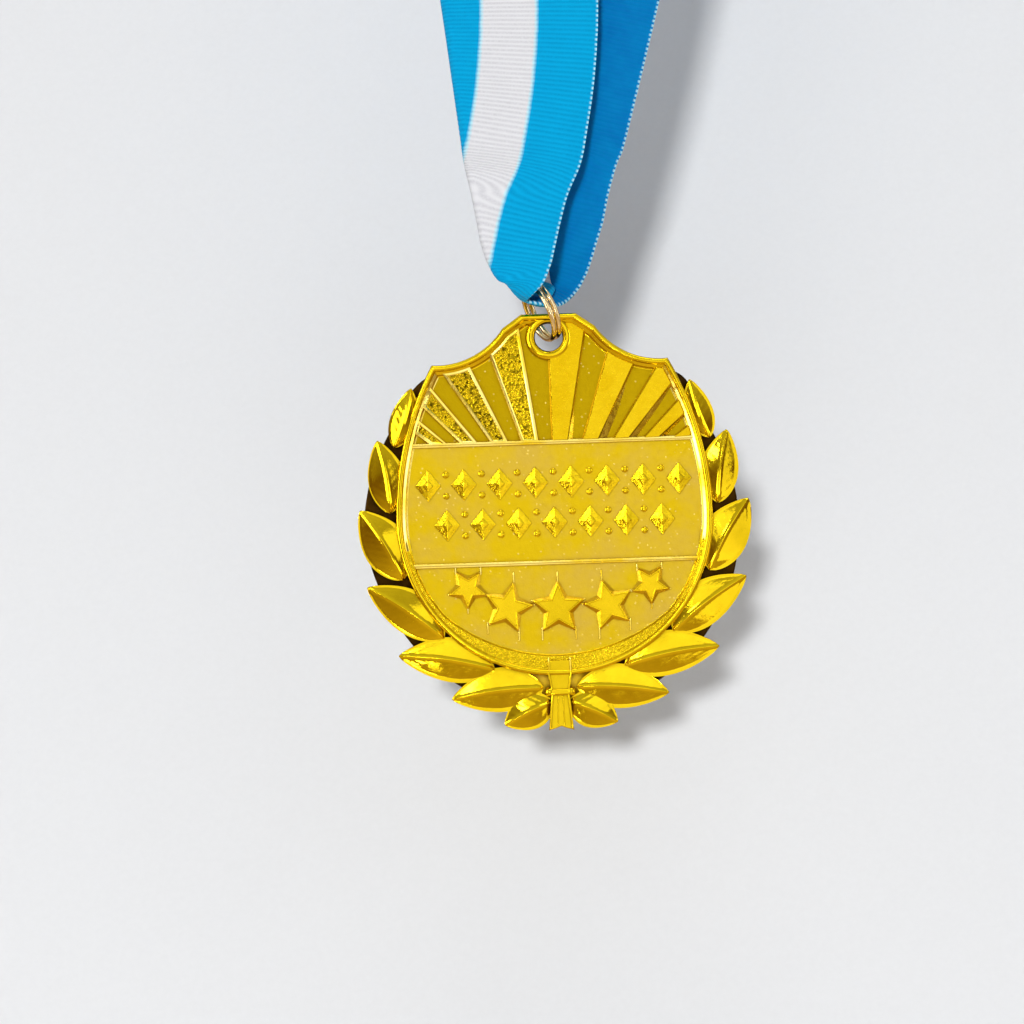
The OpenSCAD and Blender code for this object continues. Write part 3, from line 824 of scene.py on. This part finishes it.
def ornament_pieces():
    """Two staggered rows of lozenges, with pellets between them."""
    gems, pellets = [], []
    for y, count in ((PANEL_TOP - ROW_GAP, 8), (PANEL_LOW + ROW_GAP, 7)):
        for k in range(count):
            x = (k - (count - 1) / 2) * LOZENGE_PITCH
            gems += [gem(LOZENGE, (x, y), -0.2, 0.14, 0.52, 0.05),
                     gem(SMALL_LOZENGE, (x, y), 0.1, 0.44, 0.6, 0.03)]
            if k:
                pellets += [dome(x - LOZENGE_PITCH / 2, y + rise, 0.45, FLOOR_H, FLOOR_H + 0.28)
                            for rise in (-PELLET_RISE, PELLET_RISE)]
    cast("medal_lozenges", gems, [GOLD_RELIEF], 24)
    cast("medal_pellets", pellets, [GOLD_RELIEF], 60)


# Stars: place, tip radius and turn
STARS = (
    (-11.4, -7.4, 2.6, 178), (-6.35, -10.0, 3.3, -14), (0.1, -10.3, 3.45, 0), (6.6, -10.05, 3.3, 14),
    (12.0, -7.55, 2.55, 182))
STAR_H = 0.58
STAR_NOTCH = 0.42
# Rings of a star from its foot: how far its tips and its notches lie out, and height over the floor
STAR_RINGS = (
    (0.2, 0.6, -0.2), (0.18, 0.55, 0.02), (-0.12, 0.0, STAR_H - 0.05), (-0.2, -0.05, STAR_H),
    (-0.45, -0.17, STAR_H), (-0.6, -0.23, STAR_H - 0.06))
STAR_SIDES = 15
STAR_PICKS = [1] * (2 * STAR_SIDES) + [0] * (3 * STAR_SIDES + 2)


def star_pieces():
    """Five flat-topped stars whose bevelled sides are pale gold painted as highlight, and the hairlines, in
    the same, that run on from their tips.
    """
    stars, lines = [], []
    for x, y, tip, turn in STARS:
        points = []
        for out, notch_out, h in STAR_RINGS:
            blunt = 1.8 if out > -0.2 else 0.6
            for bearing in range(90 + turn, 450 + turn, 72):
                for r, a in ((tip * 0.96 + out, bearing - blunt), (tip * 0.96 + out, bearing + blunt),
                             (tip * STAR_NOTCH + notch_out, bearing + 36)):
                    points.append((*around(x, y, r, math.radians(a)), FLOOR_H + h))
        stars.append((points, closed(len(STAR_RINGS), STAR_SIDES)))
        for bearing in range(90 + turn, 450 + turn, 72):
            a = math.radians(bearing)
            (px, py), (qx, qy) = around(x, y, tip * 0.85, a), around(x, y, tip * 1.06, a)
            if abs(math.cos(a)) < 0.8:
                px, qy = qx, qy + math.copysign(0.5 if tip < 3 else 1.1, math.sin(a))
            lines.append(bar(px, py, qx, qy, 0.085, FLOOR_H - 0.2, FLOOR_H + 0.14, 0.05))
    lines += [bar(x, -FIELD_DROP - 0.15, x, -FIELD_DROP - 1.9, 0.09, BAND_H - 0.2, BAND_H + 0.42, 0.06)
              for x in (-1.38, 1.38)]
    cast("medal_stars", stars, [GOLD_RELIEF, GOLD_BRIGHT], 24, STAR_PICKS * len(STARS))
    cast("medal_hairlines", lines, [GOLD_BRIGHT], 40)


# Leaves of one side: bearing and distance of tip, bearing and distance of base, width, in shares of the plate
LEAVES = (
    (46.0, 1.04, 28.5, 0.93, 0.14), (28.0, 1.027, 7.0, 0.855, 0.185), (6.9, 1.015, -17.0, 0.83, 0.225),
    (-15.8, 1.022, -43.0, 0.81, 0.210), (-37.5, 1.048, -65.0, 0.795, 0.215),
    (-57.1, 1.037, -84.0, 0.83, 0.215), (-73.8, 1.055, -87.5, 0.90, 0.185))
LEAF_EDGE = 0.5
HIGH_RIB, LOW_RIB = 1.5, 1.21
LEAF_WIDER = 1.08
LEAF_CUTS, LEAF_ACROSS = 34, 24


def leaf(side, row, seed, ridge):
    """A pointed leaf with a raised midrib, a thin border and slanting veins."""
    tip, base = (pointing(row[k], side) * PLATE_R * row[k + 1] for k in (0, 2))
    along = (tip - base).normalized()
    cross = Vector((-along.y, along.x))
    length, width = (tip - base).length, PLATE_R * row[4] * LEAF_WIDER
    bend = 0.035 * side * length
    points = []
    for t in (i / LEAF_CUTS for i in range(LEAF_CUTS + 1)):
        swell = 0.03 + 0.97 * math.sin(math.pi * t ** 0.85) ** 0.8 if 0 < t < 1 else 0.03
        half = width / 2 * swell
        spine = base + along * (length * t) + cross * (bend * math.sin(math.pi * t))
        section = []
        for k in range(LEAF_ACROSS + 1):
            s = -1 + 2 * k / LEAF_ACROSS
            s = math.copysign(abs(s) ** 1.4, s)
            blade = (ridge - LEAF_EDGE) * swell * (1 - abs(s)) ** 0.9
            rib = 0.14 * math.exp(-(s * half / 0.19) ** 2) * (1 - 0.5 * t)
            border = 0.13 * math.exp(-((1 - abs(s)) * half / 0.15) ** 2) if swell > 0.2 else 0
            run = (t * length - abs(s) * half * 0.9 + seed) % 1.0
            vein = 0.025 * math.exp(-((run - 0.5) / 0.13) ** 2) * min(1, 4 * abs(s) * (1 - abs(s)))
            section.append((*(spine + cross * (half * s)), PLATE_T + LEAF_EDGE + blade + rib + border + vein))
        points += [(*section[0][:2], PLATE_T - SUNK), *section, (*section[-1][:2], PLATE_T - SUNK)]
    return points, closed(LEAF_CUTS + 1, LEAF_ACROSS + 3)


def laurel_pieces():
    """Seven leaves on each side. The upper ones on the left have the higher ridges."""
    for side, name in ((-1, "medal_laurel_left"), (1, "medal_laurel_right")):
        leaves = [leaf(side, row, 0.31 * i, HIGH_RIB if side < 0 and i < 4 else LOW_RIB)
                  for i, row in enumerate(LEAVES)]
        cast(name, leaves, [GOLD_LEAF], 75, even=False)


def two_sided(*left):
    """An outline from its left half."""
    return [*left, *((-x, y) for x, y in left[::-1] if x)]


def bow_piece():
    """Stem, knot and spreading tails at the foot, with beads beside the knot and borders along the edges."""
    half, waist = 1.6, 1.12
    top, pinch, foot = -18.0, -21.0, -25.88
    low = PLATE_T - SUNK
    stem = two_sided((-1.4, -16.9), (-1.5, top), (-half, top - 0.3), (-waist, pinch))
    tails = two_sided((-waist, pinch + 0.2), (-half, foot), (-half * 0.5, foot + 0.2), (0, foot + 0.5))
    knot = two_sided((-half * 0.9, pinch + 0.4), (-half * 0.95, pinch), (-half * 0.9, pinch - 0.4))
    parts = [relief(stem, low, 2.62, 0.16), relief(tails, low, 2.56, 0.14), relief(knot, low, 2.9, 0.26, 4)]
    for side in (-1, 1):
        parts.append(dome(side * 1.38, pinch + 0.05, 0.62, 2.2, 3.0, 24, 6))
        parts += [bar(side * x0, y0, side * x1, y1, *size) for x0, y0, x1, y1, *size in (
            (half - 0.15, foot + 0.16, waist - 0.08, pinch - 0.3, 0.13, 2.4, 2.82, 0.09),
            (waist - 0.02, pinch + 0.3, half - 0.14, top - 0.35, 0.12, 2.4, 2.84, 0.09),
            (0.42, foot + 0.6, 0.3, pinch - 0.5, 0.06, 2.4, 2.64, 0.04))]
    cast("medal_bow", parts, [GOLD_LEAF], 34)


# Split ring and ribbon, from the same formulas as the part's source

NECK_R = 62.0
RIBBON_LEN = 760.0
LOOP_LEAN = math.radians(22)
GATHER_R = 1.3
FRONT_SHARE = 0.65
RING_R = 3.8
WIRE_D = 0.8
DRAWN_D = 0.66
TURN_GAP = 0.1
RING_TURN, RING_LEAN = math.radians(20), math.radians(22)


def loop_length(d):
    """Length of the loop whose strands meet at a distance from the neck's middle."""
    return 2 * math.sqrt(d * d - NECK_R ** 2) + NECK_R * (math.pi + 2 * math.asin(NECK_R / d))


NECK_D = last_place(NECK_R * 1.2, RIBBON_LEN / 2, lambda d: loop_length(d) <= RIBBON_LEN)
SPREAD = math.asin(NECK_R / NECK_D)
# The ring's own axes: along its hole, across, and up
RING_N = Vector((math.cos(RING_LEAN) * math.cos(RING_TURN), math.cos(RING_LEAN) * math.sin(RING_TURN),
                 math.sin(RING_LEAN)))
RING_M = Vector((-math.sin(RING_TURN), math.cos(RING_TURN), 0))
RING_V = Vector((-math.sin(RING_LEAN) * math.cos(RING_TURN), -math.sin(RING_LEAN) * math.sin(RING_TURN),
                 math.cos(RING_LEAN)))
GATHER_UP = RING_R - WIRE_D / 2 - 0.25 - GATHER_R
KNOT = Vector((0.5 + (RING_R + GATHER_UP) * RING_V.x, -(NECK_D + NECK_R) * math.sin(LOOP_LEAN),
               -(NECK_D + NECK_R) * math.cos(LOOP_LEAN)))
RING_C = KNOT - GATHER_UP * RING_V


def ring_piece():
    """Two turns of round wire that step across at the top, with ground ends."""
    sides, angles = 16, range(184, 897, 3)
    points = []
    for i, a in enumerate(angles):
        b = math.radians(a)
        shift = (eased((a - 510) / 60) - 0.5) * (DRAWN_D + TURN_GAP)
        out = -math.cos(b) * RING_V - math.sin(b) * RING_M
        radius = DRAWN_D / 2 * {0: 0.8, 1: 0.97}.get(min(i, len(angles) - 1 - i), 1)
        mid = RING_C + RING_R * out + shift * RING_N
        points += [(mid + radius * (math.cos(c) * out + math.sin(c) * RING_N)) * MM for c in turns(sides)]
    return shown("split_ring_wire", points, closed(len(angles), sides), [ring_finish()], 50,
                 body="split_ring")


# The strands above the knot, in shares of the ring's radius, as in the part's source:
# free edge x, y, z, fold x, y, z, folded layer as a share of the open layer
FRONT_ROWS = (
    (-0.30, -0.50, 0.00, -0.62, -0.10, 0.12, 0.50), (-0.12, -1.10, 0.16, -0.80, -0.60, 0.24, 0.35),
    (0.30, -1.26, 0.42, -1.04, -0.82, 0.44, 0.35), (0.48, -1.21, 0.80, -1.32, -0.90, 0.55, 0.45),
    (0.60, -1.21, 1.14, -1.60, -0.90, 1.04, 0.60), (0.74, -1.03, 1.72, -1.83, -0.80, 1.74, 0.75),
    (0.93, -0.85, 2.48, -1.97, -0.71, 2.58, 0.75), (1.21, -0.70, 3.40, -2.12, -0.61, 3.50, 0.75),
    (1.66, -0.60, 4.40, -2.32, -0.55, 4.50, 0.75))
BACK_ROWS = (
    (0.56, 0.02, -0.20, 0.18, 0.42, 0.08, 0.50), (1.05, 0.50, -0.06, 0.20, 0.84, 0.45, 0.35),
    (1.45, 0.82, 0.34, -0.16, 1.18, 0.63, 0.35), (1.74, 0.87, 0.79, -0.40, 1.21, 0.84, 0.35),
    (1.95, 0.87, 1.29, -0.58, 1.13, 1.21, 0.35), (2.13, 0.79, 1.82, -0.79, 1.05, 1.74, 0.35),
    (2.40, 0.74, 2.60, -1.00, 0.90, 2.53, 0.38), (2.61, 0.68, 3.50, -1.21, 0.79, 3.42, 0.42),
    (2.92, 0.66, 4.50, -1.47, 0.74, 4.42, 0.50))
CLOTH_T = 1.0
SHEET_T = 0.6
RIB_RISE = 0.02
EDGE_SHARE = 0.35
FOLD_R = (CLOTH_T + 0.1) / 2
FOLD_LEN = math.pi * FOLD_R
UP = Vector((0, math.sin(LOOP_LEAN), math.cos(LOOP_LEAN)))
LIP = 1.2


# Each section of the ribbon is its free edge, its way to the fold, its way to the folded layer, the widths
# of its front and its folded layer, the angle of its fold in degrees, and the radius of the fold

def low_section(row, i, side):
    """A section near the ring, from its row."""
    free, edge = (KNOT + RING_R * Vector(part) for part in (row[:3], row[3:6]))
    across = (edge - free).normalized()
    to_back = RING_V.lerp(Vector((0, -side, 0)), eased(i / 3))
    back = (to_back - to_back.dot(across) * across).normalized()
    front = (edge - free).length - FOLD_R - CLOTH_T / 2
    return free, across, back, front, min(row[6] * front, RIBBON_W - front - FOLD_LEN), 180.0, FOLD_R


def strand_section(t, side):
    """A section of a straight strand, whose fold rolls across to the far selvedge and then opens."""
    rows = FRONT_ROWS if side < 0 else BACK_ROWS
    last = low_section(rows[-1], len(rows), side)
    start_w = last[3] + FOLD_R + CLOTH_T / 2
    start = last[0] + last[1] * start_w / 2
    out = Vector((side, 0, 0))
    end = -NECK_R * UP + NECK_R * (math.cos(SPREAD) * out - math.sin(SPREAD) * UP)
    span = (end - start).length
    leaving = Vector((0.02 if side < 0 else 0.16, 0.1, 1)).normalized() * span
    coming = (math.sin(SPREAD) * out + math.cos(SPREAD) * UP) * span
    h = t * t * (3 - 2 * t)
    point = start.lerp(end, h) + (t ** 3 - 2 * t * t + t) * leaving + (t ** 3 - t * t) * coming
    along = (6 * (t - t * t) * (end - start) + (3 * t * t - 4 * t + 1) * leaving
             + (3 * t * t - 2 * t) * coming).normalized()
    left = Vector((-1, 0, 0))
    flat = (left - left.dot(along) * along).normalized()
    turn = math.radians(90 * eased((t - 0.25) / 0.6))
    across = math.cos(turn) * flat - math.sin(turn) * along.cross(flat)
    roll = t / (0.13 if side < 0 else 0.2)
    rolled = 1 - (1 - min(1.0, roll)) ** 2
    fold = 180 * (1 - eased((roll - 0.75) / 0.6))
    front = last[3] + (RIBBON_W - FOLD_LEN - LIP - last[3]) * rolled
    front += (RIBBON_W * FRONT_SHARE - front) * eased((roll - 1.4) / 2)
    whole = last[3] + FOLD_LEN + last[4]
    rest = whole + (RIBBON_W - whole) * rolled - FOLD_LEN - front
    seen = start_w + (RIBBON_W - start_w) * rolled
    return point - across * seen / 2, across, side * along.cross(across), front, max(rest, 0.2), fold, FOLD_R


def neck_section(a):
    """A flat section round the neck."""
    out = Vector((math.sin(a), 0, 0)) + math.cos(a) * UP
    across = Vector((0, math.cos(LOOP_LEAN), -math.sin(LOOP_LEAN)))
    front = RIBBON_W * FRONT_SHARE
    free = NECK_R * (out - UP) - across * RIBBON_W / 2
    return free, across, -out, front, RIBBON_W - front - FOLD_LEN, 0.0, FOLD_R


def knot_section():
    """The gathered section inside the ring."""
    r = GATHER_R * 0.55
    front = 2 * GATHER_R * 1.1 - r - CLOTH_T / 2
    return KNOT - GATHER_R * (1.1 * RING_M + 0.2 * RING_V), RING_M, RING_V, front, GATHER_R * 0.85, 180.0, r


# Steps across the ribbon, and along it: over a strand, over half the neck, and between sections in mm
FRONT_CUTS, FOLD_CUTS, BACK_CUTS = 16, 10, 10
CUTS = FRONT_CUTS + FOLD_CUTS + BACK_CUTS
STRAND_CUTS, NECK_CUTS = 16, 12
CLOSE_STEP, WIDE_STEP = 0.16, 3.0
CLOSE_SECTIONS = 11.5


def section_lines(s):
    """Points along a section's middle: place, way out of its inner face, and width from the free edge."""
    free, across, back, front, rest, fold, r = s
    steps = [(front / FRONT_CUTS, 0.0)] * FRONT_CUTS
    for k in range(FOLD_CUTS):
        steps.append((math.pi * r / FOLD_CUTS, math.radians(fold * (k + 0.5) / FOLD_CUTS)))
    steps += [(rest / BACK_CUTS, math.radians(fold))] * BACK_CUTS
    x, y, gone = 0.0, -r, 0.0
    made = []
    for k in range(CUTS + 1):
        length, angle = steps[min(CUTS - 1, k)]
        heading = (steps[max(0, k - 1)][1] + angle) / 2
        inward = -math.sin(heading) * across + math.cos(heading) * back
        made.append((free + x * across + y * back, inward, gone))
        x, y, gone = x + length * math.cos(angle), y + length * math.sin(angle), gone + length
    return made


def curve_between(values, i, s):
    """Smooth passage through four neighbours of a closed list."""
    a, b, c, d = (values[(i + k) % len(values)] for k in (-1, 0, 1, 2))
    return (b + (c - a) * (s / 2) + (a * 2 - b * 5 + c * 4 - d) * (s * s / 2)
            + (b * 3 - a - c * 3 + d) * (s ** 3 / 2))


def ribbon_rows():
    """The ribbon's sections as pulled through the ring and round the neck, closely spaced near the ring."""
    steps = [(i / STRAND_CUTS) ** 1.5 for i in range(1, STRAND_CUTS)]
    reach = math.pi / 2 + SPREAD
    sections = [strand_section(t, -1) for t in reversed(steps)]
    sections += [low_section(row, i, -1) for i, row in enumerate(FRONT_ROWS)][::-1]
    knot = len(sections)
    sections.append(knot_section())
    sections += [low_section(row, i, 1) for i, row in enumerate(BACK_ROWS)]
    sections += [strand_section(t, 1) for t in steps]
    sections += [neck_section(reach * k / NECK_CUTS) for k in range(NECK_CUTS, -NECK_CUTS - 1, -1)]
    made = [section_lines(s) for s in sections]
    threads = [[list(column) for column in zip(*thread)] for thread in zip(*made)]
    middle = threads[FRONT_CUTS // 2][0]
    rows = []
    for i in range(len(made)):
        span = (middle[(i + 1) % len(made)] - middle[i]).length
        parts = max(2, round(span / (CLOSE_STEP if abs(i + 0.5 - knot) < CLOSE_SECTIONS else WIDE_STEP)))
        for s in (j / parts for j in range(parts)):
            rows.append([[curve_between(column, i, s) for column in thread] for thread in threads])
    return rows


def ribbon_piece():
    """The woven ribbon, with slightly raised ribs and thin selvedges."""
    rows = ribbon_rows()
    count = len(rows)
    runs = [0.0]
    for i, row in enumerate(rows):
        runs.append(runs[-1] + (rows[(i + 1) % count][0][0] - row[0][0]).length)
    stretch = round(runs[-1] / RIB_PITCH / 2) * 2 * RIB_PITCH / runs[-1]
    points, threads = [], []
    for i, row in enumerate(rows):
        edge = row[0][0]
        tangent = (rows[(i + 1) % count][0][0] - rows[i - 1][0][0]).normalized()
        width = max(0.0, row[CUTS][2])
        faces = ([], [])
        for k, (place, normal, gone) in enumerate(row):
            gone = max(0.0, gone)
            along = (runs[i] + (row[min(k, FRONT_CUTS)][0] - edge).dot(tangent)) * stretch
            taper = min(1.0, EDGE_SHARE + 2 * gone, EDGE_SHARE + 2 * (width - gone))
            raised = RIB_RISE * math.cos(2 * math.pi * along / RIB_PITCH)
            out = normal.normalized() * (SHEET_T / 2 * taper + raised)
            faces[0].append(((place - out) * MM, (gone, along, 0.0)))
            faces[1].append(((place + out) * MM, (gone, along, 1.0)))
        for point, thread in faces[0] + faces[1][::-1]:
            points.append(point)
            threads += thread
    piece = shown("neck_ribbon", points, strip(count, 2 * (CUTS + 1), loop=True), [ribbon_finish()], 60,
                  body="ribbon")
    piece.data.attributes.new("thread", "FLOAT_VECTOR", "POINT").data.foreach_set("vector", threads)
    return piece


# Stage

STAGE_BEHIND = 62.0
SWEEP_R = 160.0
SWEEP_HALF = 1500.0


def paper_finish():
    """Pale paper with a faint speck. From behind it can be seen through."""
    mat, tree, shader = material("paper_pale")
    speck = times(noise_at(tree, 0.9, 2.0, 0.7), 0.12)
    fill(shader.inputs["Base Color"], mixed(speck, (0.82, 0.84, 0.86, 1), (0.5, 0.51, 0.53, 1)))
    shader.inputs["Roughness"].default_value = 0.9
    shader.inputs["Specular IOR Level"].default_value = 0.1
    behind = put(tree, "NewGeometry").outputs["Backfacing"]
    clear = put(tree, "BsdfTransparent").outputs[0]
    fill(tree.nodes["Material Output"].inputs["Surface"],
         put_row("MixShader", (behind, shader.outputs[0], clear)))
    return mat


def backdrop():
    """A pale sheet behind the medal that leans as the ribbon does and runs out into the floor."""
    profile = [(math.tan(LOOP_LEAN) * z + STAGE_BEHIND, z) for z in range(260, -421, -20)]
    foot_y, foot_z = profile[-1]
    for k in range(1, 15):
        a = LOOP_LEAN + (math.pi / 2 - LOOP_LEAN) * k / 14
        profile.append((foot_y - SWEEP_R * (math.cos(LOOP_LEAN) - math.cos(a)),
                        foot_z - SWEEP_R * (math.sin(a) - math.sin(LOOP_LEAN))))
    last_y, last_z = profile[-1]
    profile += [(last_y - 120 * k, last_z) for k in range(1, 13)]
    mesh = bpy.data.meshes.new("paper_sweep")
    mesh.from_pydata([Vector((x, y, z)) * MM for y, z in profile for x in (-SWEEP_HALF, SWEEP_HALF)], [],
                     [(2 * i, 2 * i + 2, 2 * i + 3, 2 * i + 1) for i in range(len(profile) - 1)])
    mesh.materials.append(paper_finish())
    mesh.shade_smooth()
    sweep = linked(bpy.data.objects.new("paper_sweep", mesh))
    sweep.visible_glossy = False


# Where the lamps point, in metres
LIT = (0.0, -0.126, -0.33)


def lamp(name, place, size, power):
    data = bpy.data.lights.new(name, "AREA")
    data.shape = "RECTANGLE"
    data.size, data.size_y = size
    data.energy = power
    light = linked(bpy.data.objects.new(name, data))
    light.location = place
    light.rotation_euler = (Vector(LIT) - Vector(place)).to_track_quat("-Z", "Y").to_euler()
    return light


def lighting():
    """A dim room with a large soft front light, and narrower ones whose edges show in the metal."""
    world = bpy.data.worlds.new("studio")
    bpy.context.scene.world = world
    world.use_nodes = True
    tree = world.node_tree
    room = tree.nodes["Background"]
    up = put(tree, "SeparateXYZ", i0=put(tree, "TexCoord").outputs["Generated"]).outputs[2]
    ramp = put(tree, "ValToRGB", i0=ranged(up, -1.0, 1.0))
    stops = ramp.color_ramp.elements
    stops[0].position, stops[0].color = 0.0, (0.80, 0.60, 0.40, 1)
    stops[1].position, stops[1].color = 1.0, (0.75, 0.75, 0.75, 1)
    stops.new(0.48).color = (0.17, 0.09, 0.04, 1)
    path = put(tree, "LightPath").outputs
    fill(room.inputs["Color"], ramp.outputs[0])
    fill(room.inputs["Strength"], ranged(path["Is Diffuse Ray"], 0.0, 1.0, 1.0, 0.66))
    pale = put(tree, "Background", i0=(0.72, 0.73, 0.75, 1)).outputs[0]
    fill(tree.nodes["World Output"].inputs["Surface"],
         put_row("MixShader", (path["Is Camera Ray"], room.outputs[0], pale)))
    lamp("key", (-0.12, -1.2, -0.205), (0.08, 0.08), 7.4).visible_glossy = False
    for row in (("front", (0.17, -1.15, -0.33), (1.1, 1.1), 3.4),
                ("glint", (-0.34, -0.95, -0.02), (0.12, 0.12), 0.8),
                ("low_glint", (-0.22, -0.85, -0.66), (0.1, 0.1), 0.45),
                ("left", (-0.75, -0.36, -0.28), (0.45, 0.7), 3.8),
                ("right", (0.75, -0.34, -0.3), (0.25, 0.6), 1.0)):
        lamp(*row).visible_diffuse = False
    lamp("top", (0.08, -0.3, 0.35), (0.5, 0.14), 0.75)


# The picture: its side and the medal's place in pixels, its scale, its turn and how far away the camera is
PICTURE = 1024
MEDAL_PX = (555, 528)
PX_MM = 7.8
ROLL = math.radians(1.9)
VIEW_MM = 365.0
SENSOR = 36.0


def camera():
    """Square on to the medal, set by where the plate's middle lies in the picture."""
    data = bpy.data.cameras.new("front")
    data.sensor_width = SENSOR
    data.lens = SENSOR * VIEW_MM / (PICTURE / PX_MM)
    data.clip_start, data.clip_end = 0.02, 20.0
    view = linked(bpy.data.objects.new("front", data))
    right = Vector((math.cos(ROLL), 0, -math.sin(ROLL)))
    up = Vector((math.sin(ROLL), 0, math.cos(ROLL)))
    back = Vector((0, -1, 0))
    over, down = ((px - PICTURE / 2) / PX_MM for px in MEDAL_PX)
    aim = Vector((0, BACK_FACE - 2, PLATE_MIDDLE)) - right * over + up * down
    turn = Matrix((right, up, back)).transposed().to_4x4()
    view.matrix_world = Matrix.Translation((aim + back * VIEW_MM) * MM) @ turn
    bpy.context.scene.camera = view


plate = plate_piece()
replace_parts(plate, "medal")
shield_piece()
collar_piece()
ray_pieces()
# The slopes beside the right rays, in a darker gold painted as shade
cast("medal_ray_hollows", [hollow(*row) for row in HOLLOWS], [GOLD_HOLLOW], 30)
panel_piece()
ornament_pieces()
star_pieces()
laurel_pieces()
bow_piece()
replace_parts(ring_piece(), "split_ring")
ribbon = ribbon_piece()
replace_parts(ribbon, "ribbon")
backdrop()
lighting()
camera()
bpy.context.scene.view_settings.view_transform = "Standard"
